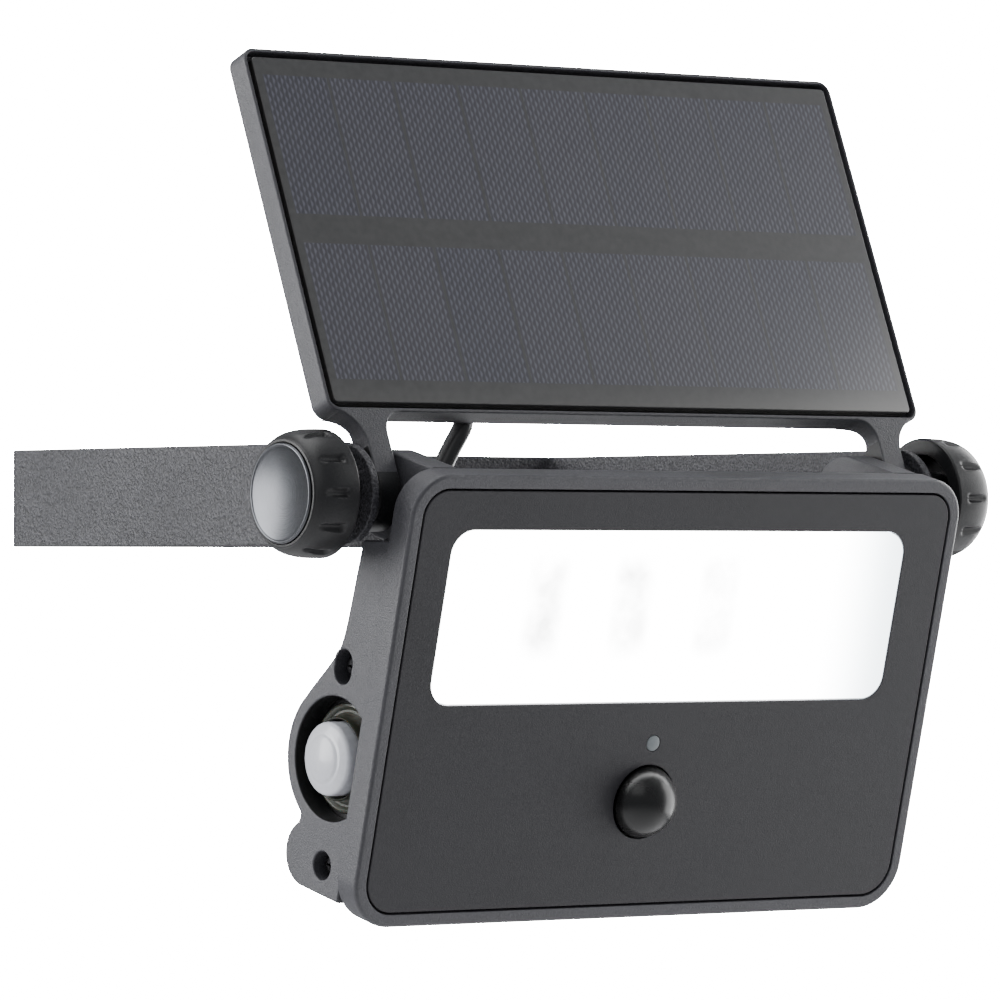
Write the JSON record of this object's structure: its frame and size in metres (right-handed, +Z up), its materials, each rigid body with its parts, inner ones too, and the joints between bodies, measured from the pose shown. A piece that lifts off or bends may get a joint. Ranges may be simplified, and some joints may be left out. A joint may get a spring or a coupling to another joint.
{
  "type": "solar flood light",
  "caption": "Wall-mounted flood light: a tilting lamp head with motion sensor under a tilting solar panel, both clamped by side knobs on a U-shaped bracket.",
  "frame": {"origin": "centre of the wall plate's back face, on the wall", "axes": "+Y into the wall, -Y the lamp's front, +Z up, +X to the viewer's right"},
  "size_m": [0.2484, 0.196, 0.2452],
  "materials": {
    "powder_coat": "fine textured black powder coat",
    "housing_plastic": "fine spark-eroded matt anthracite",
    "cover_plastic": "smooth satin dark front",
    "knob_plastic": "satin black",
    "satin_cap": "satin brushed, bright rim",
    "rubber": "matt black",
    "window_lens": "clear moulded lens",
    "reflector": "white reflective",
    "metal_board": "white-masked aluminium-core board",
    "circuit_board": "green solder mask",
    "led": "phosphor yellow",
    "sensor_can": "tinned can",
    "sensor_dome": "glossy black dome",
    "indicator": "frosted light guide",
    "button_boot": "translucent grey silicone",
    "button_cap": "milky white cap",
    "battery_wrap": "shrink-wrapped cell",
    "steel": "zinc-plated",
    "panel_glass": "clear cover over dark cells",
    "solar_cells": "dark blue cells with fine fingers"
  },
  "bodies": {
    "bracket": {"wall_bracket": "powder_coat", "spacer_washer_left": "rubber", "steel_washer_left": "steel", "spacer_washer_right": "rubber", "steel_washer_right": "steel"},
    "panel": {"panel_frame": "housing_plastic", "panel_glass": "panel_glass", "solar_cells": "solar_cells", "panel_backplate": "housing_plastic", "panel_screw_lower_left": "steel", "panel_screw_lower_right": "steel", "panel_screw_upper_left": "steel", "panel_screw_upper_right": "steel", "junction_cover": "housing_plastic"},
    "head": {"rear_housing": "housing_plastic", "side_cap": "housing_plastic", "front_bezel": "housing_plastic", "front_cover": "cover_plastic", "sealing_gasket": "rubber", "light_window": "window_lens", "reflector_tray": "reflector", "led_board": "metal_board", "led_1": "led", "led_2": "led", "led_3": "led", "led_4": "led", "led_5": "led", "led_6": "led", "led_7": "led", "led_8": "led", "control_board": "circuit_board", "motion_sensor": "sensor_can", "sensor_dome": "sensor_dome", "indicator_lens": "indicator", "battery_cell_1": "battery_wrap", "battery_cell_2": "battery_wrap", "battery_cell_3": "battery_wrap", "battery_sleeve": "rubber", "switch_collar": "rubber", "button_boot": "button_boot", "switch_body": "circuit_board", "side_screw_upper": "steel", "side_screw_lower": "steel", "rear_screw_upper_left": "steel", "rear_screw_upper_right": "steel", "rear_screw_lower_left": "steel", "rear_screw_lower_right": "steel", "clamp_nut_left": "steel", "clamp_nut_right": "steel", "head_cable_gland": "rubber", "panel_lead": "rubber"},
    "knob_left": {"knob_grip_left": "knob_plastic", "knob_cap_left": "satin_cap", "clamp_stud_left": "steel"},
    "knob_right": {"knob_grip_right": "knob_plastic", "knob_cap_right": "satin_cap", "clamp_stud_right": "steel"},
    "button": {"push_button": "button_cap"}
  },
  "joints": [
    {"name": "panel_tilt", "type": "hinge", "parent": "bracket", "child": "panel", "pos_m": [0, -0.165, 0], "axis": [1, 0, 0], "range_deg": [-23, 22]},
    {"name": "head_tilt", "type": "hinge", "parent": "panel", "child": "head", "pos_m": [0, -0.165, 0], "axis": [1, 0, 0], "range_deg": [-40, 29], "deforming": ["panel_lead"]},
    {"name": "knob_left_turn", "type": "hinge", "parent": "bracket", "child": "knob_left", "pos_m": [-0.11, -0.165, 0], "axis": [1, 0, 0], "continuous": true},
    {"name": "knob_right_turn", "type": "hinge", "parent": "bracket", "child": "knob_right", "pos_m": [0.11, -0.165, 0], "axis": [1, 0, 0], "continuous": true},
    {"name": "button_press", "type": "slide", "parent": "head", "child": "button", "axis": [1, 0, 0], "range_m": [0, 0.0015], "stiffness_N_per_m": 800, "springref_m": -0.0004}
  ]
}
